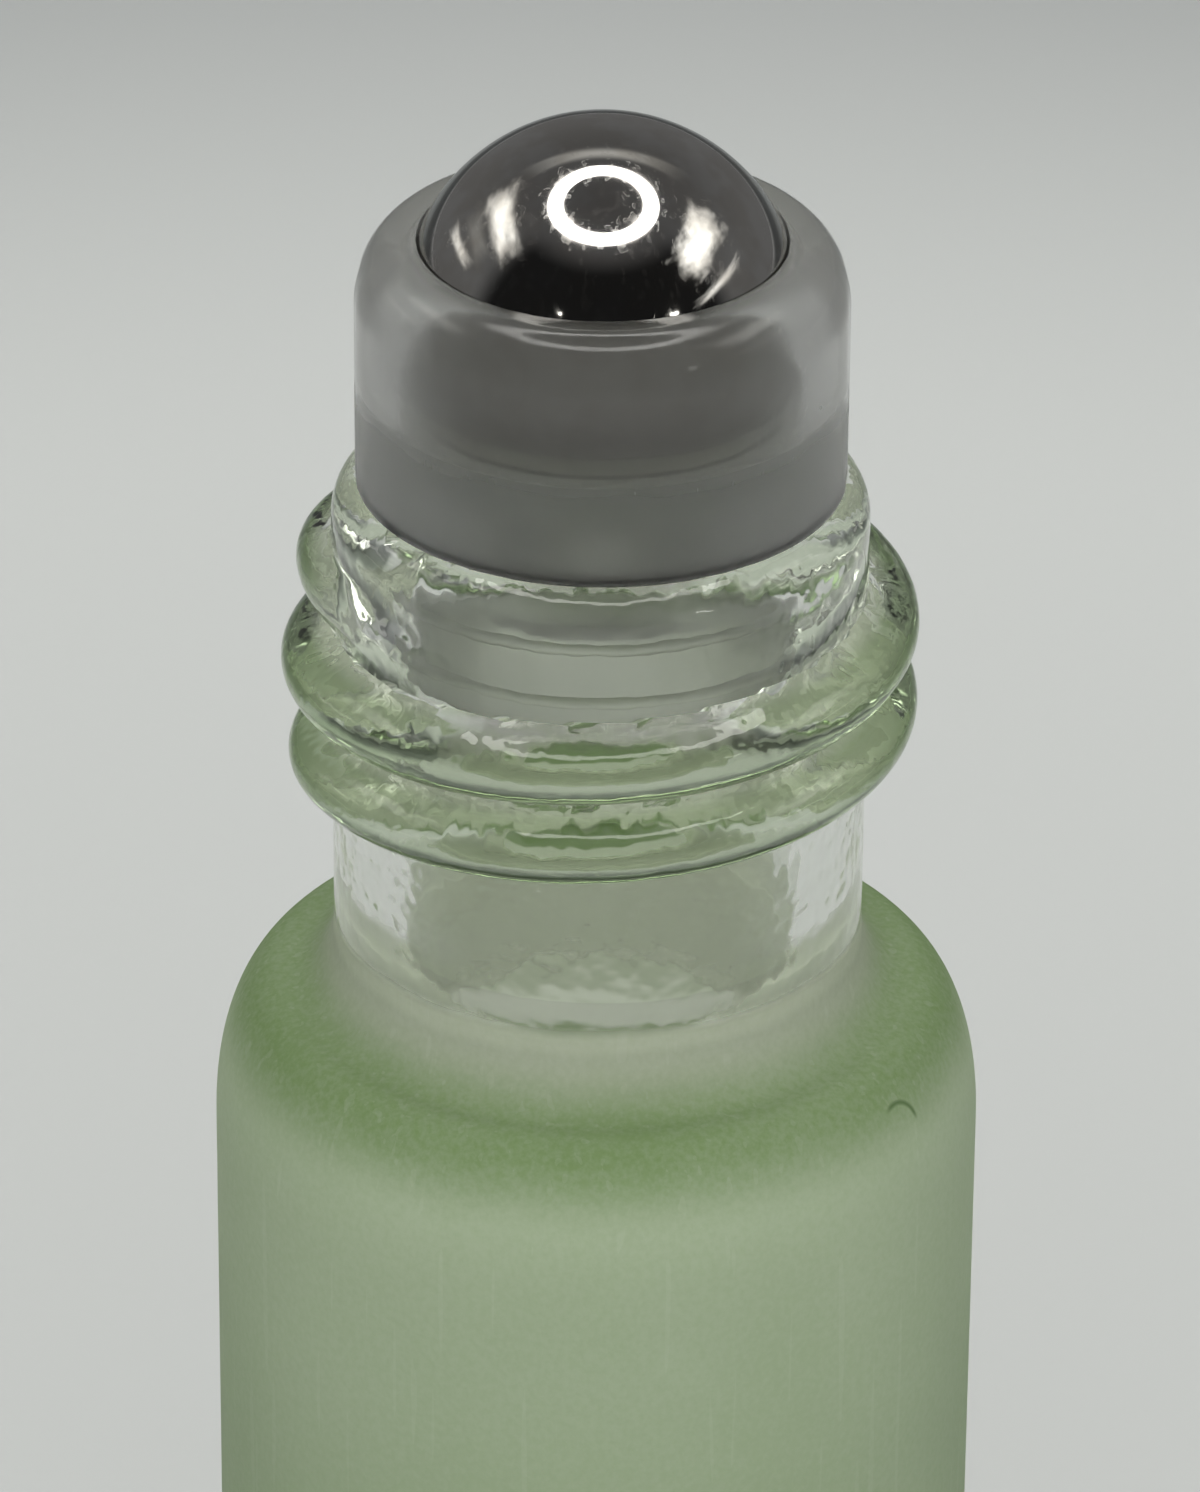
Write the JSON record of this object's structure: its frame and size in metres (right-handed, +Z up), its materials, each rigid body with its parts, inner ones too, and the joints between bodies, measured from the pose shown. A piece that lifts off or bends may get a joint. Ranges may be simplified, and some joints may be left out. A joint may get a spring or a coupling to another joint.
{
  "type": "roll on bottle",
  "caption": "Slim frosted glass roll on bottle with a threaded clear neck, a push-in translucent ball housing and a free-turning steel roller ball.",
  "frame": {"origin": "centre of the ring that the bottle stands on, on the table's surface", "axes": "+Z up along the bottle's axis, from the base to the ball; -Y is the side that the picture is taken from"},
  "size_m": [0.0198, 0.0198, 0.0842],
  "materials": {
    "frosted_green_glass": "satin",
    "milky_plastic": "satin",
    "polished_steel": "polished"
  },
  "bodies": {
    "bottle": {"glass_bottle": "frosted_green_glass"},
    "fitment": {"ball_housing": "milky_plastic"},
    "ball": {"roller_ball": "polished_steel"}
  },
  "joints": [
    {"name": "fitment_pull", "type": "slide", "parent": "bottle", "child": "fitment", "axis": [0, 0, 1], "range_m": [0, 0.008]},
    {"name": "ball_roll", "type": "hinge", "parent": "fitment", "child": "ball", "pos_m": [0, 0, 0.07919], "axis": [1, 0, 0], "continuous": true}
  ]
}
